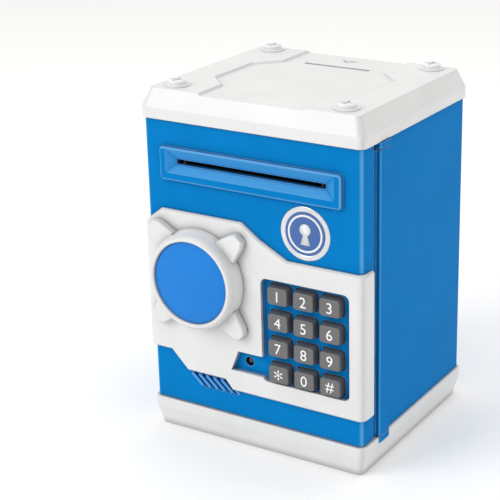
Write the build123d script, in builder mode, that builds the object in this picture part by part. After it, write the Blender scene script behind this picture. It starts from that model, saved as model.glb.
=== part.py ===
"""Toy electronic safe: a money bank with a coin slot, a powered note slot and a code keypad.

Millimetres. +X is the viewer's right, the front faces -Y and +Z is up.
The origin is the centre of the underside, on the surface the bank stands on.
"""

import os
from math import atan2, cos, pi, radians, sin, sqrt

from build123d import *

os.makedirs("parts", exist_ok=True)

# ---------------------------------------------------------------- driving dimensions
WIDTH = 128.0
DEPTH = 114.0
HEIGHT = 190.0
CORNER_R = 3.0
WALL = 2.2

BASE_TOP = 17.0
BASE_SLOPE_TOP = 11.5
BASE_LIP = 1.4
BASE_INSET = 3.0
BASE_ROOF = 14.6
PLATE_T = 2.0

LID_BOTTOM = 174.5
LID_RIM_TOP = 180.3
LID_LIP = 1.2
LID_INSET = 4.0
LID_SINK = 1.2

FRONT = -DEPTH / 2
SIDE = WIDTH / 2
BACK = DEPTH / 2
DOOR_LOW = 17.4
DOOR_HIGH = 174.1
DOOR_T = 2.5
DOOR_BACK = FRONT + 11.0
DOOR_INSIDE = FRONT + DOOR_T
DOOR_FLANGE = 2.4

HINGE_X = 60.4
HINGE_Y = -36.5
BARREL_X = (55.2, 66.0)
BARREL_Y = (-42.2, -31.0)
BARREL_TOP = 170.6
GROOVE_FLOOR = 63.3
KNUCKLE_TOP_Z = (171.0, 174.2)
KNUCKLE_LOW_Z = (13.6, BASE_TOP)
PIN_R = 1.5
BUSH_R = 3.0

JAMB_Y = (-41.0, -38.8)
JAMB_WALL_X = (48.3, 50.3)
JAMB_WALL_BACK = -26.7
SHELL_RIGHT_FRONT = -28.9

LINER_PLATE_Y = (-43.0, -41.4)
LINER_SEAT_Y = -44.4
SCREW_SEAT_Y = -42.9
LINER_X = (-60.6, 54.5)
LINER_Z = (20.2, 171.2)
POCKET_X = 47.5
POCKET_Z = (128.0, 168.0)
POCKET_BACK = -24.0
LINER_T = 1.4

FASCIA_T = 2.0
FASCIA_FRONT = FRONT - FASCIA_T
FASCIA_RETURN = -48.6

SLOT_Z = 153.2
SLOT_W = 88.0
SLOT_H = 2.8
BEZEL_T = 2.5

KEY_X = 31.9
KEY_Z = 70.0
KEY_PITCH_X = 15.15
KEY_PITCH_Z = 14.4
KEY_W = 12.6
KEY_H = 10.4
KEY_FRONT = -60.5
KEY_NAMES = ("1", "2", "3", "4", "5", "6", "7", "8", "9", "star", "0", "hash")

DIAL_X = -30.8
DIAL_Z = 92.7
DIAL_R = 27.0
DIAL_CROWN = -69.4
DIAL_BACK = -59.4
CAP_R = 22.3
CROWN_R = 178.0
ARM_REACH = 38.4
ARM_FRONT = -63.6
SHAFT_R = 4.0
TONGUE_Y = (-37.4, -35.4)
TONGUE_REACH = 28.5
LOCK_DISC_R = 12.0
LOCK_DISC_Y = (-51.0, -48.0)

CELL_R = 7.25
CELL_LENGTH = 50.5
CELL_PITCH = 15.2
CELL_Z = 9.55
BAY_Y = 27.0
BAY_HALF_X = 29.0
BAY_HALF_Y = 22.9
SPRING_LENGTH = 3.1

ROLLER_Y = -40.0
ROLLER_Z = 146.9
ROLLER_R = 6.0
PINCH_Z = 158.0
PINCH_R = 4.5
GEAR_MODULE = 0.6
WHEEL_TEETH = 24
PINION_TEETH = 10
GEAR_CENTRES = GEAR_MODULE * (WHEEL_TEETH + PINION_TEETH) / 2
IDLER_ANGLE = -60.0
IDLER_Y = ROLLER_Y + GEAR_CENTRES * cos(radians(IDLER_ANGLE))
IDLER_Z = ROLLER_Z + GEAR_CENTRES * sin(radians(IDLER_ANGLE))
MOTOR_Y = IDLER_Y - GEAR_CENTRES
MOTOR_Z = IDLER_Z
STAGE_ONE_X = (44.0, 45.8)
STAGE_TWO_X = (41.8, 43.6)
CHASSIS_X = 40.0
CHASSIS_T = 1.4

LID_BOLT_X = 49.5
LID_BOLT_Y = 46.0
FIXING_X = 57.0
FIXING_Y = (-20.0, 48.0)
LID_SCREW_X = 57.3
PLATE_SCREWS = ((-52.0, -39.0), (52.0, -39.0), (-52.0, 39.0), (52.0, 39.0))
LINER_SCREWS = ((-49.5, 30.5), (44.5, 30.5), (-50.0, 118.5), (44.5, 122.0), (-50.2, 163.0))
BOARD_SCREWS = ((1.0, 97.0), (1.0, 61.0))

AXES = {"X": (1, 0, 0), "Y": (0, 1, 0), "Z": (0, 0, 1)}


# ---------------------------------------------------------------- helpers
def front(y, x=0.0, z=0.0):
    """Plane facing the front at depth y: its own x is X and its own y is Z."""
    return Plane(origin=(x, y, z), x_dir=(1, 0, 0), z_dir=(0, -1, 0))


def block(x, y, z, mode=Mode.ADD):
    """Box given by its ranges along X, Y and Z."""
    centre = ((x[0] + x[1]) / 2, (y[0] + y[1]) / 2, (z[0] + z[1]) / 2)
    with Locations(centre):
        Box(x[1] - x[0], y[1] - y[0], z[1] - z[0], mode=mode)


def rod(start, length, radius, axis="Z", mode=Mode.ADD):
    """Cylinder that starts at a point and runs along an axis."""
    with Locations(Plane(origin=start, z_dir=AXES[axis]).location):
        Cylinder(radius, length, align=(Align.CENTER, Align.CENTER, Align.MIN), mode=mode)


def slab(plane, width, depth, radius, thickness, mode=Mode.ADD):
    """Rounded rectangle on a plane, made into a slab."""
    with BuildSketch(plane) as outline:
        RectangleRounded(width, depth, radius)
    extrude(outline.sketch, amount=thickness, mode=mode)


def tapered(low, high, mode=Mode.ADD):
    """Loft between two rounded rectangles, each (plane, width, depth, radius)."""
    sections = []
    for plane, width, depth, radius in (low, high):
        with BuildSketch(plane) as outline:
            RectangleRounded(width, depth, radius)
        sections.append(outline.sketch)
    loft(sections, mode=mode)


def barrel_outline():
    """Section of the hinge barrel: a strip that stands proud of the side wall."""
    with Locations(((BARREL_X[0] + BARREL_X[1]) / 2, (BARREL_Y[0] + BARREL_Y[1]) / 2)):
        Rectangle(BARREL_X[1] - BARREL_X[0], BARREL_Y[1] - BARREL_Y[0])
    fillet(vertices().filter_by_position(Axis.Y, BARREL_Y[1] - 0.1, BARREL_Y[1] + 0.1), 1.7)
    fillet(vertices().filter_by_position(Axis.Y, BARREL_Y[0] - 0.1, BARREL_Y[0] + 0.1), 1.2)


def keypad_outline():
    """Opening around the keys, with a side arm that holds the status light."""
    with Locations((KEY_X, 70.95)):
        RectangleRounded(51.4, 57.3, 3.4)
    Polygon((8.0, 55.6), (-8.6, 55.6), (-13.2, 44.1), (8.0, 44.1), align=None)


def key_places():
    """Centre of each key on the front, left to right and top to bottom."""
    return [
        (KEY_X + (column - 1) * KEY_PITCH_X, KEY_Z + (1.5 - row) * KEY_PITCH_Z)
        for row in range(4)
        for column in range(3)
    ]


def involute_angle(radius, base_radius):
    """Polar angle that an involute has turned through at a radius."""
    roll = sqrt(max((radius / base_radius) ** 2 - 1, 0))
    return roll - atan2(roll, 1)


def gear_points(teeth, phase):
    """Corners of a spur gear's outline, with one tooth centred on phase (degrees)."""
    pitch_r = GEAR_MODULE * teeth / 2
    base_r = pitch_r * cos(radians(20))
    tip_r = pitch_r + 0.92 * GEAR_MODULE
    root_r = pitch_r - 1.25 * GEAR_MODULE
    half_tooth = (pi / 2 - 0.16) / teeth
    at_pitch = involute_angle(pitch_r, base_r)
    start_r = max(base_r, root_r)
    flank = []
    for step in range(5):
        radius = start_r + (tip_r - start_r) * step / 4
        flank.append((radius, half_tooth + at_pitch - involute_angle(radius, base_r)))
    root_angle = flank[0][1] + 0.02
    points = []
    for tooth in range(teeth):
        middle = radians(phase) + 2 * pi * tooth / teeth
        outline = [(root_r, -root_angle)]
        outline += [(radius, -angle) for radius, angle in flank]
        outline += [(radius, angle) for radius, angle in reversed(flank)]
        outline += [(root_r, root_angle)]
        points += [(radius * cos(middle + a), radius * sin(middle + a)) for radius, a in outline]
    return points


def gear(x, centre, teeth, phase):
    """Spur gear on an X axle, centre given as (y, z), over the range x."""
    with BuildSketch(Plane.YZ.offset(x[0])) as outline:
        with Locations(centre):
            Polygon(*gear_points(teeth, phase), align=None)
    extrude(outline.sketch, amount=x[1] - x[0])


def screw(place, head_r, head_t, shank_r, length):
    """Cross-head screw whose plane faces along the shank: head behind it, shank ahead."""
    middle_up = (Align.CENTER, Align.CENTER, Align.MIN)
    with Locations(place.location):
        Cylinder(shank_r, length, align=middle_up)
    with Locations(place.offset(-head_t).location):
        Cylinder(head_r, head_t, align=middle_up)
        Box(head_r * 1.3, 0.7, head_t * 0.9, align=middle_up, mode=Mode.SUBTRACT)
        Box(0.7, head_r * 1.3, head_t * 0.9, align=middle_up, mode=Mode.SUBTRACT)


# ---------------------------------------------------------------- base
BASE_W = WIDTH + 2 * BASE_LIP
BASE_D = DEPTH + 2 * BASE_LIP

with BuildPart() as base_tray:
    tapered(
        (Plane.XY, BASE_W - 2 * BASE_INSET, BASE_D - 2 * BASE_INSET, 3.0),
        (Plane.XY.offset(BASE_SLOPE_TOP), BASE_W, BASE_D, 4.4),
    )
    slab(Plane.XY.offset(BASE_SLOPE_TOP), BASE_W, BASE_D, 4.4, BASE_TOP - BASE_SLOPE_TOP)
    fillet(edges().group_by(Axis.Z)[-1], 0.6)
    slab(Plane.XY, BASE_W - 10.8, BASE_D - 10.8, 2.0, BASE_ROOF, Mode.SUBTRACT)
    # battery bay, hanging under the roof and standing a little above it
    block((-30.6, 30.6), (BAY_Y - 24.5, BAY_Y + 24.5), (PLATE_T, 18.6))
    rod((32.6, BAY_Y, PLATE_T + 0.2), 10.0, 3.4)
    block(
        (-BAY_HALF_X, BAY_HALF_X),
        (BAY_Y - BAY_HALF_Y, BAY_Y + BAY_HALF_Y),
        (PLATE_T - 1, 17.2),
        Mode.SUBTRACT,
    )
    rod((32.6, BAY_Y, PLATE_T), 9.0, 1.4, mode=Mode.SUBTRACT)
    # posts for the underside plate
    for x, y in PLATE_SCREWS:
        rod((x, y, PLATE_T), BASE_ROOF - PLATE_T, 3.5)
    for x, y in PLATE_SCREWS:
        rod((x, y, PLATE_T), 9.0, 1.25, mode=Mode.SUBTRACT)
    # holes for the screws that hold the cabinet down
    for x in (-FIXING_X, FIXING_X):
        for y in FIXING_Y:
            rod((x, y, 14.0), 4.0, 1.5, mode=Mode.SUBTRACT)
    # pocket for the lower hinge knuckle
    block((55.0, 70.0), (BARREL_Y[0] - 0.2, BARREL_Y[1] + 0.3), (13.4, 18.0), Mode.SUBTRACT)
    block((50.1, 62.0), (-32.2, JAMB_WALL_BACK + 0.2), (13.4, 18.0), Mode.SUBTRACT)
    # way through the wall for the supply lead, up to the hinge
    block((54.0, 62.4), (-39.0, -31.5), (8.2, 13.6), Mode.SUBTRACT)
base_tray.part.label = "base_tray"
export_step(base_tray.part, "parts/base_tray.step")

with BuildPart() as base_plate:
    slab(Plane.XY, BASE_W - 11.4, BASE_D - 11.4, 1.8, PLATE_T)
    block((-28.9, 28.9), (BAY_Y - 22.8, BAY_Y + 22.8), (-1, 3), Mode.SUBTRACT)
    block((28.0, 36.4), (BAY_Y - 4.3, BAY_Y + 4.3), (-1, 3), Mode.SUBTRACT)
    for x, y in PLATE_SCREWS:
        rod((x, y, -0.5), 3.0, 1.3, mode=Mode.SUBTRACT)
        rod((x, y, -0.5), 1.7, 2.7, mode=Mode.SUBTRACT)
base_plate.part.label = "base_plate"
export_step(base_plate.part, "parts/base_plate.step")

with BuildPart() as base_plate_screws:
    for x, y in PLATE_SCREWS:
        screw(Plane(origin=(x, y, 1.2), z_dir=(0, 0, 1)), 2.5, 1.0, 1.25, 8.5)
base_plate_screws.part.label = "base_plate_screws"
export_step(base_plate_screws.part, "parts/base_plate_screws.step")

with BuildPart() as battery_cover:
    slab(Plane(origin=(0, BAY_Y, 0)), 57.2, 45.0, 1.5, 1.8)
    block((26.0, 36.1), (BAY_Y - 4.0, BAY_Y + 4.0), (0, 1.8))
    # finger ridges and the screw hole
    for ridge in range(5):
        block((-24.0, -14.0), (BAY_Y - 8.3 + 4 * ridge, BAY_Y - 7.7 + 4 * ridge), (-1, 0.5), Mode.SUBTRACT)
    rod((32.6, BAY_Y, -1), 4.0, 1.3, mode=Mode.SUBTRACT)
    rod((32.6, BAY_Y, -1), 1.9, 2.4, mode=Mode.SUBTRACT)
battery_cover.part.label = "battery_cover"
export_step(battery_cover.part, "parts/battery_cover.step")

with BuildPart() as battery_cover_screw:
    screw(Plane(origin=(32.6, BAY_Y, 0.9), z_dir=(0, 0, 1)), 2.2, 0.8, 1.3, 8.0)
battery_cover_screw.part.label = "battery_cover_screw"
export_step(battery_cover_screw.part, "parts/battery_cover_screw.step")

with BuildPart() as battery_cells:
    for index in range(3):
        facing = 1 if index % 2 == 0 else -1
        y = BAY_Y + (index - 1) * CELL_PITCH
        start = -CELL_LENGTH / 2 if facing > 0 else -CELL_LENGTH / 2 + 1.3
        rod((start, y, CELL_Z), CELL_LENGTH - 1.3, CELL_R, "X")
        nub = CELL_LENGTH / 2 - 1.3 if facing > 0 else -CELL_LENGTH / 2
        rod((nub, y, CELL_Z), 1.3, 2.7, "X")
battery_cells.part.label = "battery_cells"
export_step(battery_cells.part, "parts/battery_cells.step")

with BuildPart() as battery_contacts:
    for side in (-1, 1):
        low = BAY_HALF_X - 0.5
        x = (low, BAY_HALF_X) if side > 0 else (-BAY_HALF_X, -low)
        for index in range(3):
            y = BAY_Y + (index - 1) * CELL_PITCH
            block(x, (y - 6.0, y + 6.0), (3.0, 16.0))
    # a coil spring at each negative end and a raised bump at each positive end
    for index in range(3):
        y = BAY_Y + (index - 1) * CELL_PITCH
        facing = 1 if index % 2 == 0 else -1
        with BuildLine():
            coil = Helix(
                pitch=SPRING_LENGTH / 3,
                height=SPRING_LENGTH,
                radius=3.4,
                center=(-facing * (BAY_HALF_X - 0.3), y, CELL_Z),
                direction=(facing, 0, 0),
            )
        with BuildSketch(Plane(origin=coil @ 0, z_dir=coil % 0)):
            Circle(0.3)
        sweep(path=coil)
        bump = CELL_LENGTH / 2 if facing > 0 else -BAY_HALF_X + 0.4
        rod((bump, y, CELL_Z), BAY_HALF_X - 0.4 - CELL_LENGTH / 2, 2.0, "X")
battery_contacts.part.label = "battery_contacts"
export_step(battery_contacts.part, "parts/battery_contacts.step")

# ---------------------------------------------------------------- cabinet
with BuildPart() as cabinet_shell:
    slab(Plane.XY.offset(BASE_TOP), WIDTH, DEPTH, CORNER_R, LID_BOTTOM - BASE_TOP)
    inner = SIDE - WALL
    block((-inner, inner), (-80, BACK - WALL), (0, 200), Mode.SUBTRACT)
    block((-80, 0), (-80, DOOR_BACK + 0.4), (0, 200), Mode.SUBTRACT)
    block((0, 80), (-80, SHELL_RIGHT_FRONT), (0, 200), Mode.SUBTRACT)
    # frame round the chamber mouth
    block((-inner, -53.0), JAMB_Y, (BASE_TOP, LID_BOTTOM))
    block((-53.0, JAMB_WALL_X[0]), JAMB_Y, (BASE_TOP, 25.0))
    block(JAMB_WALL_X, (JAMB_Y[0], JAMB_WALL_BACK), (BASE_TOP, LID_BOTTOM))
    block((JAMB_WALL_X[1], inner), (SHELL_RIGHT_FRONT, JAMB_WALL_BACK), (BASE_TOP, LID_BOTTOM))
    # top flange that carries the lid
    block((-inner, JAMB_WALL_X[1]), (JAMB_Y[0], -33.0), (172.5, LID_BOTTOM))
    block((-inner, -53.5), (-33.0, BACK - WALL), (172.5, LID_BOTTOM))
    block((53.5, inner), (JAMB_WALL_BACK, BACK - WALL), (172.5, LID_BOTTOM))
    block((-53.5, 53.5), (46.0, BACK - WALL), (172.5, LID_BOTTOM))
    # hinge knuckles above and below the door's barrel
    for (low, high), reach in ((KNUCKLE_TOP_Z, SIDE), (KNUCKLE_LOW_Z, inner)):
        with BuildSketch(Plane.XY.offset(low)):
            barrel_outline()
        extrude(amount=high - low)
        block((JAMB_WALL_X[1], reach), (-32.0, JAMB_WALL_BACK), (low, high))
    block((JAMB_WALL_X[0], 52.0), (-32.0, JAMB_WALL_BACK), (BASE_TOP, BASE_TOP + 2))
    rod((HINGE_X, HINGE_Y, 170.0), 4.0, PIN_R, mode=Mode.SUBTRACT)
    rod((HINGE_X, HINGE_Y, 13.0), 5.0, BUSH_R, mode=Mode.SUBTRACT)
    # bosses for the screws from the base, and holes for the lid's screws
    for x in (-FIXING_X, FIXING_X):
        for y in FIXING_Y:
            rod((x, y, BASE_TOP), 13.0, 5.0)
    for side in (-1, 1):
        for y in FIXING_Y:
            rod((side * FIXING_X, y, BASE_TOP), 11.0, 1.5, mode=Mode.SUBTRACT)
            rod((side * LID_SCREW_X, y, 172.0), 3.0, 1.5, mode=Mode.SUBTRACT)
cabinet_shell.part.label = "cabinet_shell"
export_step(cabinet_shell.part, "parts/cabinet_shell.step")

with BuildPart() as chamber_floor:
    block((-61.6, 61.6), (-26.5, 54.6), (19.0, 20.8))
    block((-61.6, 48.1), (-38.6, -26.5), (19.0, 20.8))
    block((-61.6, -60.4), (-38.6, 54.6), (17.0, 19.0))
    block((60.4, 61.6), (-26.5, 54.6), (17.0, 19.0))
    for x in (-FIXING_X, FIXING_X):
        for y in FIXING_Y:
            rod((x, y, 16.0), 10.0, 5.2, mode=Mode.SUBTRACT)
chamber_floor.part.label = "chamber_floor"
export_step(chamber_floor.part, "parts/chamber_floor.step")

with BuildPart() as base_screws:
    for x in (-FIXING_X, FIXING_X):
        for y in FIXING_Y:
            screw(Plane(origin=(x, y, BASE_ROOF), z_dir=(0, 0, 1)), 2.8, 1.8, 1.5, 11.0)
base_screws.part.label = "base_screws"
export_step(base_screws.part, "parts/base_screws.step")

with BuildPart() as strike_plate:
    block((-61.6, -53.4), (JAMB_Y[1], JAMB_Y[1] + 1.0), (DIAL_Z - 11, DIAL_Z + 11))
    for dz in (-8.0, 8.0):
        rod((-57.5, JAMB_Y[1] + 0.5, DIAL_Z + dz), 1.0, 1.4, "Y", Mode.SUBTRACT)
strike_plate.part.label = "strike_plate"
export_step(strike_plate.part, "parts/strike_plate.step")

with BuildPart() as hinge_pin:
    rod((HINGE_X, HINGE_Y, 162.0), 12.0, PIN_R)
    chamfer(edges().group_by(Axis.Z)[0], 0.4)
hinge_pin.part.label = "hinge_pin"
export_step(hinge_pin.part, "parts/hinge_pin.step")

with BuildPart() as hinge_bush:
    rod((HINGE_X, HINGE_Y, 13.6), 13.0, BUSH_R)
    rod((HINGE_X, HINGE_Y, 13.0), 14.0, 2.0, mode=Mode.SUBTRACT)
hinge_bush.part.label = "hinge_bush"
export_step(hinge_bush.part, "parts/hinge_bush.step")

with BuildPart() as supply_lead:
    with BuildLine():
        route = FilletPolyline(
            (30.6, 8.0, 10.0),
            (42.0, 8.0, 10.0),
            (56.4, -12.0, 10.0),
            (56.4, -29.0, 10.0),
            (HINGE_X, HINGE_Y, 10.0),
            (HINGE_X, HINGE_Y, 29.8),
            radius=[7.0, 8.0, 5.0, 3.2],
        )
    with BuildSketch(Plane(origin=route @ 0, z_dir=route % 0)):
        Circle(1.2)
    sweep(path=route)
supply_lead.part.label = "supply_lead"
export_step(supply_lead.part, "parts/supply_lead.step")

# ---------------------------------------------------------------- lid
LID_W = WIDTH + 2 * LID_LIP
LID_D = DEPTH + 2 * LID_LIP

with BuildPart() as lid:
    slab(Plane.XY.offset(LID_BOTTOM), LID_W, LID_D, 4.0, LID_RIM_TOP - LID_BOTTOM)
    tapered(
        (Plane.XY.offset(LID_RIM_TOP), LID_W, LID_D, 4.0),
        (Plane.XY.offset(HEIGHT), LID_W - 2 * LID_INSET, LID_D - 2 * LID_INSET, 3.0),
    )
    fillet(edges().group_by(Axis.Z)[-1], 0.6)
    tapered(
        (Plane.XY.offset(LID_BOTTOM), 121.6, 107.6, 2.0),
        (Plane.XY.offset(HEIGHT - 3.6), 116.0, 102.0, 2.0),
        Mode.SUBTRACT,
    )
    # sunk centre panel, wider in the middle, running out over the front and back edges
    with BuildSketch(Plane.XY.offset(HEIGHT - LID_SINK)):
        with BuildLine():
            Polyline(
                (30.0, -70), (30.0, -33.0), (42.6, -20.5), (42.6, 14.5), (30.4, 27.0), (30.4, 70),
                (-30.4, 70), (-30.4, 27.0), (-42.6, 14.5), (-42.6, -20.5), (-30.0, -33.0), (-30.0, -70),
                close=True,
            )
        make_face()
    extrude(amount=5.0, taper=-45.0, mode=Mode.SUBTRACT)
    # bosses for the screws from the cabinet's flange
    for x in (-LID_SCREW_X, LID_SCREW_X):
        for y in FIXING_Y:
            rod((x, y, LID_BOTTOM), 12.2, 3.4)
    for x in (-LID_SCREW_X, LID_SCREW_X):
        for y in FIXING_Y:
            rod((x, y, LID_BOTTOM), 7.0, 1.25, mode=Mode.SUBTRACT)
    # coin slot with its guide walls
    block((-22.0, 22.0), (28.0, 35.2), (181.0, 187.0))
    slab(Plane(origin=(0, 31.6, 178.0)), 40.0, 2.8, 1.0, 20.0, Mode.SUBTRACT)
    # arrow mark behind the slot
    with BuildSketch(Plane.XY.offset(HEIGHT - LID_SINK - 0.5)):
        with BuildLine():
            Polyline((-5.2, 47.0), (5.2, 47.0), (0.0, 41.6), close=True)
        make_face()
        with BuildLine():
            Polyline((-2.9, 45.9), (2.9, 45.9), (0.0, 42.9), close=True)
        make_face(mode=Mode.SUBTRACT)
    extrude(amount=3.0, mode=Mode.SUBTRACT)
    for x in (-LID_BOLT_X, LID_BOLT_X):
        for y in (-LID_BOLT_Y, LID_BOLT_Y):
            rod((x, y, HEIGHT - 2.2), 4.0, 2.0, mode=Mode.SUBTRACT)
lid.part.label = "lid"
export_step(lid.part, "parts/lid.step")

with BuildPart() as lid_bolts:
    for x in (-LID_BOLT_X, LID_BOLT_X):
        for y in (-LID_BOLT_Y, LID_BOLT_Y):
            rod((x, y, HEIGHT - 2.2), 2.3, 2.0)
            rod((x, y, HEIGHT), 1.0, 6.1)
            rod((x, y, HEIGHT + 1.0), 2.2, 4.8)
    fillet(edges().group_by(Axis.Z)[-1], 0.7)
    washer_rims = edges().filter_by(GeomType.CIRCLE).filter_by(lambda e: abs(e.radius - 6.1) < 0.01)
    fillet(washer_rims.group_by(Axis.Z)[-1], 0.35)
    for x in (-LID_BOLT_X, LID_BOLT_X):
        for y in (-LID_BOLT_Y, LID_BOLT_Y):
            block((x - 3.6, x + 3.6), (y - 0.65, y + 0.65), (HEIGHT + 2.1, HEIGHT + 4), Mode.SUBTRACT)
            block((x - 0.65, x + 0.65), (y - 3.6, y + 3.6), (HEIGHT + 2.1, HEIGHT + 4), Mode.SUBTRACT)
lid_bolts.part.label = "lid_bolts"
export_step(lid_bolts.part, "parts/lid_bolts.step")

with BuildPart() as lid_screws:
    for x in (-LID_SCREW_X, LID_SCREW_X):
        for y in FIXING_Y:
            screw(Plane(origin=(x, y, 172.5), z_dir=(0, 0, 1)), 2.8, 1.6, 1.25, 8.5)
lid_screws.part.label = "lid_screws"
export_step(lid_screws.part, "parts/lid_screws.step")

# ---------------------------------------------------------------- door
with BuildPart() as door_shell:
    block((-SIDE, SIDE), (FRONT, DOOR_BACK), (DOOR_LOW, DOOR_HIGH))
    fillet(edges().filter_by(Axis.Z).group_by(Axis.Y)[0], CORNER_R)
    inner = SIDE - DOOR_FLANGE
    block((-inner, inner), (DOOR_INSIDE, 0), (DOOR_LOW + 2, DOOR_HIGH - 2), Mode.SUBTRACT)
    block((59.6, GROOVE_FLOOR), (-48.0, -41.0), (DOOR_LOW, BARREL_TOP))
    with BuildSketch(Plane.XY.offset(DOOR_LOW)):
        barrel_outline()
    extrude(amount=BARREL_TOP - DOOR_LOW)
    # barrel bores: the pin above, the bush and the lead's passage below
    rod((HINGE_X, HINGE_Y, 161.0), 12.0, PIN_R + 0.05, mode=Mode.SUBTRACT)
    rod((HINGE_X, HINGE_Y, 16.0), 11.0, BUSH_R + 0.05, mode=Mode.SUBTRACT)
    rod((HINGE_X, HINGE_Y, 26.0), 22.0, 1.9, mode=Mode.SUBTRACT)
    block((54.0, HINGE_X), (HINGE_Y - 1.9, HINGE_Y + 1.9), (34.0, 48.0), Mode.SUBTRACT)
    # posts for the liner's screws and the circuit board
    for x, z in LINER_SCREWS:
        rod((x, DOOR_INSIDE - 0.1, z), LINER_SEAT_Y - DOOR_INSIDE + 0.1, 3.0, "Y")
    for x, z in BOARD_SCREWS:
        rod((x, DOOR_INSIDE - 0.1, z), 4.7, 2.4, "Y")
    for x, z in LINER_SCREWS:
        rod((x, LINER_SEAT_Y - 7, z), 8.0, 1.25, "Y", Mode.SUBTRACT)
    for x, z in BOARD_SCREWS:
        rod((x, DOOR_INSIDE, z), 4.6, 1.0, "Y", Mode.SUBTRACT)
    # note slot: a proud frame, a funnel and the slot itself
    slab(front(FRONT, 0, 151.9), 106.6, 17.6, 2.0, BEZEL_T)
    chamfer(faces().sort_by(Axis.Y)[0].edges(), 0.8)
    tapered(
        (front(FRONT - BEZEL_T - 0.01, 0, 153.5), 99.2, 12.4, 1.2),
        (front(FRONT - 0.1, 0, SLOT_Z), 90.2, 4.6, 1.0),
        Mode.SUBTRACT,
    )
    slab(front(FRONT - 1, 0, SLOT_Z), SLOT_W, SLOT_H, 0.6, -6.0, Mode.SUBTRACT)
    # sunk keypad floor with a hole for each key and one for the light
    with BuildSketch(front(FRONT - 1)):
        keypad_outline()
    extrude(amount=-2.0, mode=Mode.SUBTRACT)
    for x, z in key_places():
        slab(front(FRONT - 1, x, z), KEY_W + 0.7, KEY_H + 0.7, 1.8, -6.0, Mode.SUBTRACT)
    rod((-3.5, -60, 49.8), 10.0, 2.6, "Y", Mode.SUBTRACT)
    # speaker grille: slanted slots
    for index in range(5):
        with BuildSketch(front(FRONT - 1)):
            with Locations((-34.0 + 4.7 * index, 32.8)):
                SlotOverall(11.0, 1.7, rotation=-42)
        extrude(amount=-6.0, mode=Mode.SUBTRACT)
    # bearing for the dial's shaft
    rod((DIAL_X, DOOR_INSIDE - 0.1, DIAL_Z), 1.6, 8.0, "Y")
    rod((DIAL_X, -60, DIAL_Z), 10.0, SHAFT_R + 0.08, "Y", Mode.SUBTRACT)
door_shell.part.label = "door_shell"
export_step(door_shell.part, "parts/door_shell.step")

with BuildPart() as fascia:
    with BuildSketch(front(FASCIA_FRONT)):
        with BuildLine():
            Polyline(
                (66.0, 32.0), (66.0, 111.0), (21.8, 111.0), (5.6, 119.4), (-5.0, 127.0), (-54.0, 127.0),
                (-66.0, 117.5), (-66.0, 47.3), (-51.6, 47.3), (-41.5, 37.2), (-17.6, 37.2), (-13.1, 32.0),
                close=True,
            )
        make_face()
    extrude(amount=FASCIA_FRONT - FASCIA_RETURN)
    fillet(edges().filter_by(Axis.Z).group_by(Axis.Y)[0], 4.4)
    face_edges = faces().sort_by(Axis.Y)[0].edges()
    chamfer(face_edges.filter_by(lambda e: abs(e.center().X) < 61.0), 0.9)
    with BuildSketch(Plane.XY):
        with Locations((0, FRONT + 50)):
            RectangleRounded(WIDTH, 100, CORNER_R)
    extrude(amount=HEIGHT, mode=Mode.SUBTRACT)
    with BuildSketch(front(FASCIA_FRONT - 1)):
        keypad_outline()
    extrude(amount=-6.0, mode=Mode.SUBTRACT)
    rod((DIAL_X, -60, DIAL_Z), 10.0, 4.6, "Y", Mode.SUBTRACT)
fascia.part.label = "fascia"
export_step(fascia.part, "parts/fascia.step")

with BuildPart() as emblem_badge:
    rod((32.0, FRONT - 0.4, 127.0), 0.4, 14.2, "Y")
emblem_badge.part.label = "emblem_badge"
export_step(emblem_badge.part, "parts/emblem_badge.step")

for name, (x, z) in zip(KEY_NAMES, key_places()):
    with BuildPart() as key:
        tapered(
            (front(KEY_FRONT + 5.4, x, z), KEY_W, KEY_H, 1.6),
            (front(KEY_FRONT, x, z), KEY_W - 1.2, KEY_H - 1.3, 1.6),
        )
        fillet(faces().sort_by(Axis.Y)[0].edges(), 0.6)
        slab(front(KEY_FRONT + 5.3, x, z), KEY_W, KEY_H, 1.6, -1.0)
        slab(front(DOOR_INSIDE + 0.3, x, z), 14.0, 12.6, 1.6, -0.8)
    key.part.label = f"key_{name}"
    export_step(key.part, f"parts/key_{name}.step")

with BuildPart() as keypad_mat:
    block((6.4, 57.4), (-50.9, -49.9), (42.0, 99.6))
    for x, z in key_places():
        with Locations(Plane(origin=(x, -50.9, z), z_dir=(0, -1, 0)).location):
            Cone(4.0, 3.0, 1.0, align=(Align.CENTER, Align.CENTER, Align.MIN))
keypad_mat.part.label = "keypad_mat"
export_step(keypad_mat.part, "parts/keypad_mat.step")

with BuildPart() as circuit_board:
    block((-9.0, 57.6), (-49.9, -48.3), (39.5, 102.0))
    for x, z in BOARD_SCREWS:
        rod((x, -51, z), 4.0, 1.1, "Y", Mode.SUBTRACT)
circuit_board.part.label = "circuit_board"
export_step(circuit_board.part, "parts/circuit_board.step")

with BuildPart() as board_parts:
    block((22.0, 34.0), (-48.3, -46.3), (66.0, 78.0))
    block((42.0, 50.0), (-48.3, -46.8), (84.0, 89.0))
    block((40.0, 46.0), (-48.3, -44.6), (39.7, 43.0))
    block((6.0, 14.0), (-48.3, -44.6), (92.0, 97.0))
    block((-6.0, 2.0), (-48.3, -44.6), (73.0, 79.0))
    for x, z in ((44.0, 50.0), (14.0, 52.0)):
        rod((x, -48.3, z), 4.4, 2.6, "Y")
    for index in range(6):
        block((24.0 + 3 * index, 25.6 + 3 * index), (-48.3, -47.6), (58.0, 60.6))
board_parts.part.label = "board_parts"
export_step(board_parts.part, "parts/board_parts.step")

with BuildPart() as board_screws:
    for x, z in BOARD_SCREWS:
        screw(Plane(origin=(x, -48.3, z), z_dir=(0, -1, 0)), 2.0, 1.2, 1.0, 5.5)
board_screws.part.label = "board_screws"
export_step(board_screws.part, "parts/board_screws.step")

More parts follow.
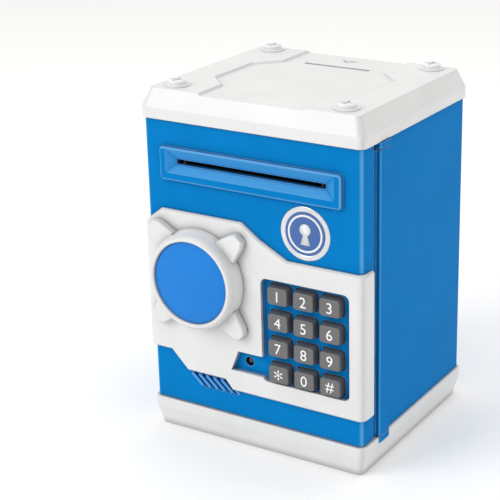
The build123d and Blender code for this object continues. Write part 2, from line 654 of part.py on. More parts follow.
with BuildPart() as status_light:
    rod((-3.5, -53.0, 49.8), 3.1, 2.4, "Y")
    rod((-3.5, -51.0, 49.8), 1.1, 2.8, "Y")
    with Locations((-3.5, -53.0, 49.8)):
        Sphere(2.4)
status_light.part.label = "status_light"
export_step(status_light.part, "parts/status_light.step")

with BuildPart() as speaker:
    rod((-26.0, DOOR_INSIDE, 38.0), 2.2, 14.0, "Y")
    rod((-26.0, DOOR_INSIDE - 1, 38.0), 3.2, 12.4, "Y", Mode.SUBTRACT)
    rod((-26.0, DOOR_INSIDE + 2.2, 38.0), 1.4, 14.0, "Y")
    rod((-26.0, DOOR_INSIDE + 3.6, 38.0), 3.4, 8.0, "Y")
speaker.part.label = "speaker"
export_step(speaker.part, "parts/speaker.step")

with BuildPart() as speaker_cone:
    with Locations(Plane(origin=(-26.0, DOOR_INSIDE + 0.5, 38.0), z_dir=(0, 1, 0)).location):
        Cone(12.2, 4.6, 1.6, align=(Align.CENTER, Align.CENTER, Align.MIN))
        Cone(11.4, 3.8, 1.0, align=(Align.CENTER, Align.CENTER, Align.MIN), mode=Mode.SUBTRACT)
speaker_cone.part.label = "speaker_cone"
export_step(speaker_cone.part, "parts/speaker_cone.step")

with BuildPart() as door_liner:
    block(LINER_X, (DOOR_INSIDE, LINER_PLATE_Y[1]), LINER_Z)
    fillet(edges().filter_by(Axis.Y).filter_by(lambda e: e.center().X < 0), 2.0)
    block(
        (LINER_X[0] + LINER_T, LINER_X[1] - LINER_T),
        (-60, LINER_PLATE_Y[0]),
        (LINER_Z[0] + LINER_T, LINER_Z[1] - LINER_T),
        Mode.SUBTRACT,
    )
    block((50.0, 58.0), (-60, -48.0), (38.0, 103.0), Mode.SUBTRACT)
    # deep pocket over the note feeder, open to the front and slotted at the back
    block((-POCKET_X, POCKET_X), (LINER_PLATE_Y[0], POCKET_BACK), POCKET_Z)
    fillet(edges().filter_by(Axis.Z).group_by(Axis.Y)[-1], 2.0)
    block(
        (-POCKET_X + LINER_T, POCKET_X - LINER_T),
        (-60, POCKET_BACK - LINER_T),
        (POCKET_Z[0] + LINER_T, POCKET_Z[1] - LINER_T),
        Mode.SUBTRACT,
    )
    block((-39.5, 39.5), (-30, -20), (150.6, 156.6), Mode.SUBTRACT)
    # stiffening ribs on the plate
    for z in (36.0, 46.0, 56.0):
        block((-50.0, 44.0), (LINER_PLATE_Y[1] - 0.2, LINER_PLATE_Y[1] + 0.9), (z, z + 1.6))
    rod((DIAL_X, -50, DIAL_Z), 12.0, SHAFT_R + 0.08, "Y", Mode.SUBTRACT)
    for x, z in LINER_SCREWS:
        rod((x, LINER_SEAT_Y, z), 1.6, 4.0, "Y")
    for x, z in LINER_SCREWS:
        rod((x, -50, z), 12.0, 1.3, "Y", Mode.SUBTRACT)
        rod((x, SCREW_SEAT_Y, z), 4.0, 2.7, "Y", Mode.SUBTRACT)
    block((51.4, 56.0), (-60.0, -40.0), (39.4, 42.6), Mode.SUBTRACT)
door_liner.part.label = "door_liner"
export_step(door_liner.part, "parts/door_liner.step")

with BuildPart() as liner_screws:
    for x, z in LINER_SCREWS:
        screw(Plane(origin=(x, SCREW_SEAT_Y, z), z_dir=(0, -1, 0)), 2.4, 1.3, 1.25, 8.0)
liner_screws.part.label = "liner_screws"
export_step(liner_screws.part, "parts/liner_screws.step")

with BuildPart() as door_lead:
    with BuildLine():
        route = FilletPolyline(
            (HINGE_X, HINGE_Y, 30.2),
            (HINGE_X, HINGE_Y, 41.0),
            (53.0, HINGE_Y, 41.0),
            (53.0, -46.2, 41.0),
            (46.0, -46.2, 41.0),
            radius=[3.2, 3.4, 3.4],
        )
    with BuildSketch(Plane(origin=route @ 0, z_dir=route % 0)):
        Circle(1.2)
    sweep(path=route)
door_lead.part.label = "door_lead"
export_step(door_lead.part, "parts/door_lead.step")

# ---------------------------------------------------------------- note feeder
with BuildPart() as feed_chassis:
    for side in (-1, 1):
        x = (CHASSIS_X, CHASSIS_X + CHASSIS_T) if side > 0 else (-CHASSIS_X - CHASSIS_T, -CHASSIS_X)
        block(x, (DOOR_INSIDE, -26.0), (131.0, 165.0))
    block((-CHASSIS_X, CHASSIS_X), (DOOR_INSIDE, -26.0), (150.2, 151.6))
    block((-CHASSIS_X, CHASSIS_X), (DOOR_INSIDE, -26.0), (154.8, 156.2))
    for x in (-13.0, 13.0):
        block((x - 4.8, x + 4.8), (ROLLER_Y - 7, ROLLER_Y + 7), (149.0, 158.0), Mode.SUBTRACT)
    rod((-45, ROLLER_Y, ROLLER_Z), 90.0, 1.58, "X", Mode.SUBTRACT)
    rod((-45, ROLLER_Y, PINCH_Z), 90.0, 1.58, "X", Mode.SUBTRACT)
    rod((39, MOTOR_Y, MOTOR_Z), 4.0, 2.5, "X", Mode.SUBTRACT)
    rod((CHASSIS_X + CHASSIS_T, IDLER_Y, IDLER_Z), 4.4, 1.0, "X")
feed_chassis.part.label = "feed_chassis"
export_step(feed_chassis.part, "parts/feed_chassis.step")

with BuildPart() as feed_motor:
    rod((18.0, MOTOR_Y, MOTOR_Z), 21.0, 7.0, "X")
    rod((39.0, MOTOR_Y, MOTOR_Z), 2.4, 2.5, "X")
    fillet(edges().filter_by(GeomType.CIRCLE).filter_by(lambda e: abs(e.radius - 7.0) < 0.01), 1.0)
    rod((16.5, MOTOR_Y, MOTOR_Z), 1.5, 3.0, "X")
    block((15.0, 18.2), (MOTOR_Y - 4.6, MOTOR_Y - 3.4), (MOTOR_Z - 1, MOTOR_Z + 1))
    block((15.0, 18.2), (MOTOR_Y + 3.4, MOTOR_Y + 4.6), (MOTOR_Z - 1, MOTOR_Z + 1))
    rod((17.0, MOTOR_Y, MOTOR_Z), 30.0, 0.81, "X", Mode.SUBTRACT)
feed_motor.part.label = "feed_motor"
export_step(feed_motor.part, "parts/feed_motor.step")

with BuildPart() as motor_pinion:
    gear(STAGE_ONE_X, (MOTOR_Y, MOTOR_Z), PINION_TEETH, 0.0)
    rod((20.0, MOTOR_Y, MOTOR_Z), 25.6, 0.75, "X")
motor_pinion.part.label = "motor_pinion"
export_step(motor_pinion.part, "parts/motor_pinion.step")

IDLER_WHEEL_PHASE = 180.0 + 180.0 / WHEEL_TEETH
IDLER_PINION_PHASE = IDLER_ANGLE + 180.0
ROLLER_WHEEL_PHASE = IDLER_ANGLE + 180.0 / WHEEL_TEETH

with BuildPart() as idler_gear:
    gear(STAGE_ONE_X, (IDLER_Y, IDLER_Z), WHEEL_TEETH, IDLER_WHEEL_PHASE)
    gear((STAGE_TWO_X[0], STAGE_ONE_X[0]), (IDLER_Y, IDLER_Z), PINION_TEETH, IDLER_PINION_PHASE)
    rod((41.0, IDLER_Y, IDLER_Z), 6.0, 1.06, "X", Mode.SUBTRACT)
idler_gear.part.label = "idler_gear"
export_step(idler_gear.part, "parts/idler_gear.step")

with BuildPart() as roller_gear:
    gear(STAGE_TWO_X, (ROLLER_Y, ROLLER_Z), WHEEL_TEETH, ROLLER_WHEEL_PHASE)
    rod((41.0, ROLLER_Y, ROLLER_Z), 4.0, 1.5, "X", Mode.SUBTRACT)
roller_gear.part.label = "roller_gear"
export_step(roller_gear.part, "parts/roller_gear.step")

with BuildPart() as feed_shaft:
    rod((-42.5, ROLLER_Y, ROLLER_Z), 86.1, 1.5, "X")
feed_shaft.part.label = "feed_shaft"
export_step(feed_shaft.part, "parts/feed_shaft.step")

with BuildPart() as feed_tyres:
    for x in (-17.0, 9.0):
        rod((x, ROLLER_Y, ROLLER_Z), 8.0, ROLLER_R, "X")
    rod((-20, ROLLER_Y, ROLLER_Z), 40.0, 1.5, "X", Mode.SUBTRACT)
feed_tyres.part.label = "feed_tyres"
export_step(feed_tyres.part, "parts/feed_tyres.step")

with BuildPart() as pinch_shaft:
    rod((-42.5, ROLLER_Y, PINCH_Z), 85.0, 1.5, "X")
pinch_shaft.part.label = "pinch_shaft"
export_step(pinch_shaft.part, "parts/pinch_shaft.step")

with BuildPart() as pinch_tyres:
    for x in (-17.0, 9.0):
        rod((x, ROLLER_Y, PINCH_Z), 8.0, PINCH_R, "X")
    rod((-20, ROLLER_Y, PINCH_Z), 40.0, 1.5, "X", Mode.SUBTRACT)
pinch_tyres.part.label = "pinch_tyres"
export_step(pinch_tyres.part, "parts/pinch_tyres.step")

with BuildPart() as note_sensor:
    block((-36.0, -28.0), (-52.0, -47.0), (145.2, 150.2))
    block((-33.5, -30.5), (-50.5, -48.5), (142.6, 145.2))
note_sensor.part.label = "note_sensor"
export_step(note_sensor.part, "parts/note_sensor.step")

# ---------------------------------------------------------------- dial and lock
with BuildPart() as dial_ring:
    with BuildSketch(Plane(origin=(DIAL_X, 0, DIAL_Z), x_dir=(1, 0, 0), z_dir=(0, 0, 1))):
        with BuildLine():
            Polyline(
                (SHAFT_R, -66.6), (22.4, -66.6), (22.4, -68.9), (23.0, -69.4), (24.2, -69.2), (25.3, -68.3),
                (25.9, -67.0), (DIAL_R, DIAL_BACK), (24.8, DIAL_BACK), (23.8, -64.4), (7.5, -64.4),
                (7.5, DIAL_BACK), (SHAFT_R, DIAL_BACK), close=True,
            )
        make_face()
    revolve(axis=Axis((DIAL_X, 0, DIAL_Z), (0, 1, 0)))
    for index in range(4):
        turn = radians(45 + 90 * index)
        spoke = Plane(origin=(DIAL_X, DIAL_BACK, DIAL_Z), x_dir=(cos(turn), 0, sin(turn)), z_dir=(0, -1, 0))
        with BuildSketch(spoke):
            with BuildLine():
                Polyline(
                    (26.0, -7.2), (34.6, -4.9), (ARM_REACH, -2.6), (ARM_REACH, 2.6), (34.6, 4.9), (26.0, 7.2),
                    (24.9, 0.0), close=True,
                )
            make_face()
        extrude(amount=DIAL_BACK - ARM_FRONT)
    proud = edges().filter_by(lambda e: abs(e.center().Y - ARM_FRONT) < 0.01)
    ends = proud.filter_by(lambda e: (e.center() - Vector(DIAL_X, ARM_FRONT, DIAL_Z)).length > 28.0)
    fillet(ends, 0.9)
dial_ring.part.label = "dial_ring"
export_step(dial_ring.part, "parts/dial_ring.step")

with BuildPart() as dial_cap:
    rod((DIAL_X, DIAL_CROWN, DIAL_Z), 2.8, CAP_R, "Y")
    with Locations((DIAL_X, DIAL_CROWN + CROWN_R, DIAL_Z)):
        Sphere(CROWN_R, mode=Mode.INTERSECT)
    fillet(edges().group_by(Axis.Y)[0], 0.4)
dial_cap.part.label = "dial_cap"
export_step(dial_cap.part, "parts/dial_cap.step")

with BuildPart() as dial_shaft:
    rod((DIAL_X, -66.6, DIAL_Z), 66.6 + TONGUE_Y[1], SHAFT_R, "Y")
    rod((DIAL_X, -52.6, DIAL_Z), 1.6, 6.4, "Y")
    rod((DIAL_X, TONGUE_Y[1] - 9, DIAL_Z), 9.0, 1.4, "Y", Mode.SUBTRACT)
dial_shaft.part.label = "dial_shaft"
export_step(dial_shaft.part, "parts/dial_shaft.step")

with BuildPart() as lock_disc:
    rod((DIAL_X, LOCK_DISC_Y[0], DIAL_Z), LOCK_DISC_Y[1] - LOCK_DISC_Y[0], LOCK_DISC_R, "Y")
    rod((DIAL_X, -55, DIAL_Z), 10.0, SHAFT_R, "Y", Mode.SUBTRACT)
    block((DIAL_X - 2.5, DIAL_X + 2.5), (-55, -45), (DIAL_Z - 15, DIAL_Z - 9.9), Mode.SUBTRACT)
    block((DIAL_X - 15, DIAL_X - 9.9), (-55, -45), (DIAL_Z - 2.5, DIAL_Z + 2.5), Mode.SUBTRACT)
lock_disc.part.label = "lock_disc"
export_step(lock_disc.part, "parts/lock_disc.step")

with BuildPart() as latch_tongue:
    rod((DIAL_X, TONGUE_Y[0], DIAL_Z), TONGUE_Y[1] - TONGUE_Y[0], 9.0, "Y")
    block((DIAL_X - 6, DIAL_X + 6), TONGUE_Y, (DIAL_Z, DIAL_Z + TONGUE_REACH))
    fillet(edges().filter_by(Axis.Y).group_by(Axis.Z)[-1], 3.0)
    rod((DIAL_X, -40, DIAL_Z), 10.0, SHAFT_R, "Y", Mode.SUBTRACT)
latch_tongue.part.label = "latch_tongue"
export_step(latch_tongue.part, "parts/latch_tongue.step")

with BuildPart() as tongue_screw:
    screw(Plane(origin=(DIAL_X, TONGUE_Y[1], DIAL_Z), z_dir=(0, -1, 0)), 5.6, 1.6, 1.4, 8.5)
tongue_screw.part.label = "tongue_screw"
export_step(tongue_screw.part, "parts/tongue_screw.step")

with BuildPart() as lock_solenoid:
    block((DIAL_X - 5.5, DIAL_X + 5.5), (-54.2, -44.6), (56.0, 74.0))
    rod((DIAL_X, -49.5, 50.0), 30.0, 2.06, "Z", Mode.SUBTRACT)
    block((DIAL_X - 8.5, DIAL_X + 8.5), (-54.4, -53.0), (57.5, 60.5))
lock_solenoid.part.label = "lock_solenoid"
export_step(lock_solenoid.part, "parts/lock_solenoid.step")

with BuildPart() as lock_plunger:
    rod((DIAL_X, -49.5, 55.0), 24.7, 2.0)
    rod((DIAL_X, -49.5, 52.4), 0.8, 3.0)
    rod((DIAL_X, -49.5, 52.4), 3.0, 1.2)
    chamfer(edges().group_by(Axis.Z)[-1], 0.5)
lock_plunger.part.label = "lock_plunger"
export_step(lock_plunger.part, "parts/lock_plunger.step")
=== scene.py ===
"""Toy electronic safe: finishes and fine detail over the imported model.

Metres, in the model's frame: +X is the viewer's right, the door faces -Y and +Z is up.
"""

import math

import bmesh
import bpy
from mathutils import Matrix, Vector


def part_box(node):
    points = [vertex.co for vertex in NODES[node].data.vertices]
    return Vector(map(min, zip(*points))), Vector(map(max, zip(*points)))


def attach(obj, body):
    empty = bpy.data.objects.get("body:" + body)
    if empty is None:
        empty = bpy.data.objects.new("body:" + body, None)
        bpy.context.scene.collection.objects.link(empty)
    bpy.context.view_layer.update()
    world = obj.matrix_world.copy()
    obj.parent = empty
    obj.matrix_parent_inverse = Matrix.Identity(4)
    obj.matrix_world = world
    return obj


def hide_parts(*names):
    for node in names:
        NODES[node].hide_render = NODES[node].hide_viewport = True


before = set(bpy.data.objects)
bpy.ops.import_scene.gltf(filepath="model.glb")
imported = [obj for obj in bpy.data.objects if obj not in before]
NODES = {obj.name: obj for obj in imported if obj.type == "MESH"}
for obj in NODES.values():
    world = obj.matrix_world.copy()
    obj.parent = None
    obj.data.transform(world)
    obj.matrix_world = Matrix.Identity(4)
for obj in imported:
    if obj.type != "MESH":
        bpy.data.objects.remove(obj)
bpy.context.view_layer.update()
MM = 0.001

KEY_LEGENDS = {"star": "*", "hash": "#"}
KEY_NAMES = ("1", "2", "3", "4", "5", "6", "7", "8", "9", "star", "0", "hash")
LEGEND_SCALE = {"star": 1.5}
LEGEND_SIZE = 8.2 * MM
LEGEND_DEPTH = 0.12 * MM

GRILLE_CENTRE = Vector((-24.6, 0, 32.8)) * MM
GRILLE_PITCH = 4.7 * MM
GRILLE_RIBS = 6
RIB_LENGTH = 10.0 * MM
RIB_RADIUS = 0.95 * MM
RIB_HEIGHT = 0.7 * MM
RIB_TILT = math.radians(-42)
RING_STEPS = 71

CREASE_REACH = 5 * MM
CREASE_SAMPLES = 8

CAMERA_AZIMUTH = 30.78
CAMERA_ELEVATION = 19.40
CAMERA_ROLL = -0.73
CAMERA_PLACE = Vector((0.3714, -0.6222, 0.3664))
CAMERA_LENS = 102.85
CAMERA_SHIFT = (-0.12, -0.06)
SENSOR_WIDTH = 36.0

FLOOR_HALF = 4.0
SKY_COLOUR = (1.0, 0.99, 0.975, 1)
SKY_STRENGTH = 0.84
LIGHT_TARGET = Vector((0, 0, 0.1))
SOFTBOXES = {
    "key": ((-0.75, -1.15, 1.05), (0.9, 0.9), 9.6),
    "side": ((1.35, -0.15, 0.75), (0.7, 1.0), 0.5),
    "top": ((0.1, 0.35, 1.35), (1.0, 1.0), 3.6),
}

BLUE = (0.002, 0.186, 0.510)
DEEP_BLUE = (0.004, 0.190, 0.620)
# Painted highlight: grille ribs paler than the door blue they stand on.
RIB_HIGHLIGHT_BLUE = (0.040, 0.280, 0.720)
# Painted highlight colour for slanted faces of the blue mouldings.
LIT_BLUE = (0.095, 0.370, 0.720)
WHITE = (0.705, 0.712, 0.710)
# Painted shade colour for slanted faces of the white mouldings.
CHAMFER_SHADE_WHITE = (0.600, 0.608, 0.608)
INNER_GREY = (0.560, 0.580, 0.600)
KEY_GREY = (0.128, 0.126, 0.130)
BLACK = (0.016, 0.016, 0.018)


# ---------------------------------------------------------------- material nodes
def new_material(name):
    """A material with its tree and its main shader."""
    material = bpy.data.materials.new(name)
    material.use_nodes = True
    return material, material.node_tree, material.node_tree.nodes["Principled BSDF"]


def add(tree, kind, values=None, links=None):
    """A node with its input values and its incoming links."""
    node = tree.nodes.new(kind)
    for socket, value in (values or {}).items():
        node.inputs[socket].default_value = value
    for socket, source in (links or {}).items():
        tree.links.new(source, node.inputs[socket])
    return node


def feed(shader, socket, source):
    """Links a source to one of a shader's inputs."""
    shader.id_data.links.new(source, shader.inputs[socket])


def coordinates(tree, stretch=(1, 1, 1)):
    """Object coordinates in metres, stretched along an axis where asked."""
    source = add(tree, "ShaderNodeTexCoord").outputs["Object"]
    if stretch == (1, 1, 1):
        return source
    return add(tree, "ShaderNodeMapping", {"Scale": stretch}, {"Vector": source}).outputs["Vector"]


def noise(tree, size, detail=3.0, stretch=(1, 1, 1)):
    """Noise whose features are about the given size in metres."""
    values = {"Scale": 1 / size, "Detail": detail, "Roughness": 0.55}
    node = add(tree, "ShaderNodeTexNoise", values, {"Vector": coordinates(tree, stretch)})
    return node.outputs["Fac"]


def spread(tree, source, low, high, start=0.3, end=0.7):
    """Maps a source from start..end to low..high."""
    values = {"From Min": start, "From Max": end, "To Min": low, "To Max": high}
    return add(tree, "ShaderNodeMapRange", values, {"Value": source}).outputs["Result"]


def mixed(tree, factor, first, second):
    """Colour mix of two colours or sockets."""
    node = tree.nodes.new("ShaderNodeMix")
    node.data_type = "RGBA"
    tree.links.new(factor, node.inputs["Factor"])
    for socket, value in ((node.inputs[6], first), (node.inputs[7], second)):
        if isinstance(value, tuple):
            socket.default_value = (*value, 1)
        else:
            tree.links.new(value, socket)
    return node.outputs[2]


def shade(colour, amount):
    """A colour made lighter or darker by a factor."""
    return tuple(min(1.0, channel * amount) for channel in colour)


def rounded_normal(tree, radius):
    """Normal that rounds the edges of the mesh, and a mask that is 1 along those edges."""
    normal = add(tree, "ShaderNodeBevel", {"Radius": radius}).outputs["Normal"]
    flat = add(tree, "ShaderNodeNewGeometry").outputs["Normal"]
    dot = tree.nodes.new("ShaderNodeVectorMath")
    dot.operation = "DOT_PRODUCT"
    tree.links.new(normal, dot.inputs[0])
    tree.links.new(flat, dot.inputs[1])
    return normal, spread(tree, dot.outputs["Value"], 1.0, 0.0, 0.80, 0.99)


def relief(tree, shader, height, depth, normal):
    """Bump on top of the rounded normal."""
    bump = add(tree, "ShaderNodeBump", {"Distance": depth}, {"Height": height, "Normal": normal})
    feed(shader, "Normal", bump.outputs["Normal"])


def slanted(tree):
    """Mask that is 1 on rounded and bevelled corners and 0 on faces that lie along an axis."""
    normal = add(tree, "ShaderNodeTexCoord").outputs["Normal"]
    sides = add(tree, "ShaderNodeSeparateXYZ", links={"Vector": normal}).outputs
    longest = None
    for side in sides:
        size = add(tree, "ShaderNodeMath", links={0: side})
        size.operation = "ABSOLUTE"
        if longest is None:
            longest = size.outputs["Value"]
            continue
        larger = add(tree, "ShaderNodeMath", links={0: longest, 1: size.outputs["Value"]})
        larger.operation = "MAXIMUM"
        longest = larger.outputs["Value"]
    return spread(tree, longest, 1, 0, 0.74, 0.97)


def crease_shaded(tree, source, darkest):
    """Colour darkened where surfaces meet: painted shade from an ambient occlusion mask."""
    hollow = tree.nodes.new("ShaderNodeAmbientOcclusion")
    hollow.samples = CREASE_SAMPLES
    hollow.inputs["Distance"].default_value = CREASE_REACH
    return mixed(tree, spread(tree, hollow.outputs["AO"], 0, 1, 0.45, 0.95), darkest, source)


def moulded(name, colour, roughness=0.32, grain=0.25 * MM, depth=0.004 * MM, edge=0.45 * MM,
            coat=0.15, edge_highlight_strength=0.10, index=1.49, dust_and_crease_shade=0.72, corner=None):
    """Moulded plastic: flow clouds, rub marks, grain, painted edge highlights and painted crease
    shade.
    """
    material, tree, shader = new_material(name)
    clouds = noise(tree, 28 * MM, 3.0)
    specks = noise(tree, 1.3 * MM, 2.0)
    rubs = noise(tree, 6 * MM, 3.0, (1, 1, 0.6))
    body = mixed(tree, spread(tree, clouds, 0, 1), shade(colour, 0.965), shade(colour, 1.035))
    body = mixed(tree, spread(tree, specks, 0, 0.12, 0.66, 0.80), body, shade(colour, 0.86))
    normal, edge_wear_and_highlight = rounded_normal(tree, edge)
    # Painted highlight: bevelled edges lightened towards white, broken up by the rub noise.
    lit_edge = tuple(channel + (1 - channel) * edge_highlight_strength * 2 for channel in colour)
    patchy_edge_highlight = add(tree, "ShaderNodeMath", links={0: edge_wear_and_highlight, 1: spread(tree, rubs, 0.5, 1.0)})
    patchy_edge_highlight.operation = "MULTIPLY"
    edge_highlight_mask = spread(tree, patchy_edge_highlight.outputs["Value"], 0, 0.8, 0, 1)
    # Slanted faces take the corner colour: a painted highlight on blue mouldings, painted shade on
    # white ones.
    if corner:
        body = mixed(tree, slanted(tree), body, corner)
    # Painted shade: colour darkened in creases by an ambient occlusion mask.
    body = crease_shaded(tree, body, shade(colour, dust_and_crease_shade))
    feed(shader, "Base Color", mixed(tree, edge_highlight_mask, body, lit_edge))
    feed(shader, "Roughness", spread(tree, rubs, roughness * 0.92, roughness * 1.12))
    shader.inputs["Coat Weight"].default_value = coat
    shader.inputs["Coat Roughness"].default_value = 0.12
    shader.inputs["IOR"].default_value = index
    relief(tree, shader, noise(tree, grain, 2.0), depth, normal)
    return material


def metal(name, colour, roughness=0.28, stretch=(1, 1, 14), edge=0.15 * MM):
    """Plated or rolled metal with fine directional marks and dull patches."""
    material, tree, shader = new_material(name)
    brush = noise(tree, 1.2 * MM, 6.0, stretch)
    patches = noise(tree, 5 * MM, 4.0)
    tint = mixed(tree, spread(tree, patches, 0, 1), shade(colour, 0.86), colour)
    normal, edge_wear_and_highlight = rounded_normal(tree, edge)
    feed(shader, "Base Color", mixed(tree, edge_wear_and_highlight, tint, shade(colour, 1.15)))
    feed(shader, "Roughness", spread(tree, brush, roughness * 0.7, roughness * 1.5))
    shader.inputs["Metallic"].default_value = 1.0
    relief(tree, shader, brush, 0.006 * MM, normal)
    return material


def rubber(name, colour, roughness=0.72, grain=0.18 * MM, depth=0.02 * MM):
    """Soft rubber with a dusty bloom and a pebbled skin."""
    material, tree, shader = new_material(name)
    dust_and_crease_shade = noise(tree, 6 * MM, 5.0)
    pale = tuple(channel * 0.8 + 0.03 for channel in colour)
    normal, edge_wear_and_highlight = rounded_normal(tree, 0.3 * MM)
    body = mixed(tree, spread(tree, dust_and_crease_shade, 0, 1), colour, pale)
    feed(shader, "Base Color", mixed(tree, edge_wear_and_highlight, body, shade(pale, 1.4)))
    feed(shader, "Roughness", spread(tree, dust_and_crease_shade, roughness * 0.9, min(1.0, roughness * 1.2)))
    relief(tree, shader, noise(tree, grain, 2.0), depth, normal)
    return material


def circuit_material():
    """Green solder mask with paler straight copper runs under it."""
    material, tree, shader = new_material("circuit_board")
    place = add(tree, "ShaderNodeSeparateXYZ", links={"Vector": coordinates(tree)}).outputs
    flat = add(tree, "ShaderNodeCombineXYZ", links={"X": place["X"], "Y": place["Z"]})
    layout = {"Scale": 1 / (10 * MM), "Mortar Size": 0.022, "Brick Width": 0.74, "Row Height": 0.17}
    bricks = add(tree, "ShaderNodeTexBrick", layout, {"Vector": flat.outputs["Vector"]})
    runs = bricks.outputs["Fac"]
    mask = mixed(tree, runs, (0.012, 0.085, 0.030), (0.030, 0.190, 0.060))
    feed(shader, "Base Color", mask)
    feed(shader, "Roughness", spread(tree, noise(tree, 4 * MM), 0.28, 0.5))
    normal, _ = rounded_normal(tree, 0.1 * MM)
    relief(tree, shader, runs, 0.03 * MM, normal)
    return material


def cell_material():
    """Printed sleeve of a battery cell: dark in the middle, copper shoulders, steel ends."""
    material, tree, shader = new_material("battery_cell")
    along = add(tree, "ShaderNodeSeparateXYZ", links={"Vector": coordinates(tree)}).outputs["X"]
    distance = tree.nodes.new("ShaderNodeMath")
    distance.operation = "ABSOLUTE"
    tree.links.new(along, distance.inputs[0])
    end = spread(tree, distance.outputs["Value"], 0, 1, 0.0238, 0.0240)
    band = spread(tree, distance.outputs["Value"], 0, 1, 0.0150, 0.0152)
    sleeve = mixed(tree, band, (0.020, 0.022, 0.028), (0.42, 0.19, 0.07))
    scuffs = spread(tree, noise(tree, 3 * MM, 5.0), 0, 0.25)
    scuffed = mixed(tree, scuffs, sleeve, (0.25, 0.25, 0.26))
    feed(shader, "Base Color", mixed(tree, end, scuffed, (0.62, 0.63, 0.65)))
    feed(shader, "Metallic", end)
    feed(shader, "Roughness", spread(tree, noise(tree, 1 * MM), 0.22, 0.4))
    normal, _ = rounded_normal(tree, 0.4 * MM)
    relief(tree, shader, noise(tree, 0.5 * MM), 0.006 * MM, normal)
    return material


def lamp_material():
    """Tinted clear lens of the status light."""
    material, tree, shader = new_material("status_lens")
    swirl = noise(tree, 0.8 * MM, 4.0)
    tint = mixed(tree, spread(tree, swirl, 0, 1), (0.010, 0.010, 0.014), (0.030, 0.022, 0.030))
    feed(shader, "Base Color", tint)
    shader.inputs["Transmission Weight"].default_value = 0.35
    feed(shader, "Roughness", spread(tree, swirl, 0.06, 0.16))
    shader.inputs["Coat Weight"].default_value = 0.6
    normal, _ = rounded_normal(tree, 0.2 * MM)
    relief(tree, shader, swirl, 0.004 * MM, normal)
    return material


def cone_material():
    """Pressed paper of the loudspeaker cone."""
    material, tree, shader = new_material("speaker_paper")
    fibres = noise(tree, 0.5 * MM, 8.0)
    feed(shader, "Base Color", mixed(tree, fibres, (0.010, 0.009, 0.008), (0.045, 0.040, 0.036)))
    shader.inputs["Roughness"].default_value = 0.9
    normal, _ = rounded_normal(tree, 0.2 * MM)
    relief(tree, shader, fibres, 0.08 * MM, normal)
    return material


def floor_material():
    """Matt pale paper of the studio floor."""
    material, tree, shader = new_material("studio_floor")
    fibre = noise(tree, 3 * MM, 6.0)
    feed(shader, "Base Color", mixed(tree, fibre, (0.955, 0.955, 0.955), (0.975, 0.975, 0.975)))
    shader.inputs["Roughness"].default_value = 0.85
    return material


# ---------------------------------------------------------------- finishes of the model
def finishes():
    """Material for each node of the model."""
    blue = moulded(
        "blue_shell", BLUE, 0.34, edge=0.8 * MM, coat=0.0, edge_highlight_strength=0.20, index=1.07, dust_and_crease_shade=0.6,
        corner=LIT_BLUE,
    )
    white = moulded(
        "white_shell", WHITE, 0.30, edge=0.6 * MM, edge_highlight_strength=0.25, dust_and_crease_shade=0.62, corner=CHAMFER_SHADE_WHITE,
    )
    inner = moulded("inner_shell", INNER_GREY, 0.55, 0.5 * MM, 0.03 * MM, coat=0.0)
    black = moulded("black_moulding", BLACK, 0.5, coat=0.0, edge_highlight_strength=0.05)
    nylon = moulded("nylon", (0.72, 0.68, 0.56), 0.45, coat=0.0, edge=0.1 * MM)
    keys = moulded("key_cap", KEY_GREY, 0.36, 0.3 * MM, 0.008 * MM, coat=0.1, edge_highlight_strength=0.12)
    dial = moulded(
        "dial_blue", DEEP_BLUE, 0.22, edge=0.3 * MM, coat=0.25, index=1.2, corner=LIT_BLUE,
    )
    bolts = moulded(
        "bolt_white", (0.77, 0.78, 0.79), 0.24, edge=0.25 * MM, coat=0.5, edge_highlight_strength=0.3, dust_and_crease_shade=0.85,
    )
    tyres = rubber("tyre_rubber", (0.020, 0.020, 0.021), 0.8, 0.4 * MM, 0.12 * MM)
    steel = metal("steel", (0.58, 0.59, 0.61), 0.32)
    groups = {
        blue: ("cabinet_shell", "door_shell"),
        white: (
            "base_tray", "base_plate", "battery_cover", "lid", "fascia", "dial_ring", "dial_shaft",
        ),
        inner: ("chamber_floor", "door_liner"),
        black: ("board_parts", "speaker", "feed_chassis", "note_sensor"),
        nylon: ("motor_pinion", "idler_gear", "roller_gear", "lock_disc"),
        steel: (
            "base_plate_screws", "battery_contacts", "base_screws", "strike_plate", "hinge_pin",
            "lid_screws", "battery_cover_screw", "board_screws", "liner_screws", "feed_motor",
            "lock_solenoid", "feed_shaft", "pinch_shaft", "latch_tongue", "tongue_screw",
            "lock_plunger",
        ),
        keys: tuple(f"key_{name}" for name in KEY_NAMES),
        dial: ("dial_cap",),
        bolts: ("lid_bolts",),
        metal("brass", (0.72, 0.50, 0.20), 0.30): ("hinge_bush",),
        tyres: ("feed_tyres", "pinch_tyres"),
        rubber("mat_rubber", (0.24, 0.25, 0.27)): ("keypad_mat",),
        rubber("lead_jacket", (0.26, 0.012, 0.010), 0.4): ("supply_lead", "door_lead"),
        circuit_material(): ("circuit_board",),
        cell_material(): ("battery_cells",),
        lamp_material(): ("status_light",),
        cone_material(): ("speaker_cone",),
    }
    return {node: material for material, nodes in groups.items() for node in nodes}


def dress(finish):
    """Gives each node of the model its finish."""
    for name, material in finish.items():
        mesh = NODES[name].data
        mesh.materials.clear()
        mesh.materials.append(material)


# ---------------------------------------------------------------- built pieces
def piece(name, body, material, build):
    """A mesh piece made by a bmesh function, riding on a body."""
    mesh = bpy.data.meshes.new(name)
    shape = bmesh.new()
    build(shape)
    bmesh.ops.recalc_face_normals(shape, faces=shape.faces)
    shape.to_mesh(mesh)
    shape.free()
    mesh.materials.append(material)
    made = bpy.data.objects.new(name, mesh)
    bpy.context.scene.collection.objects.link(made)
    for polygon in mesh.polygons:
        polygon.use_smooth = True
    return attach(made, body)


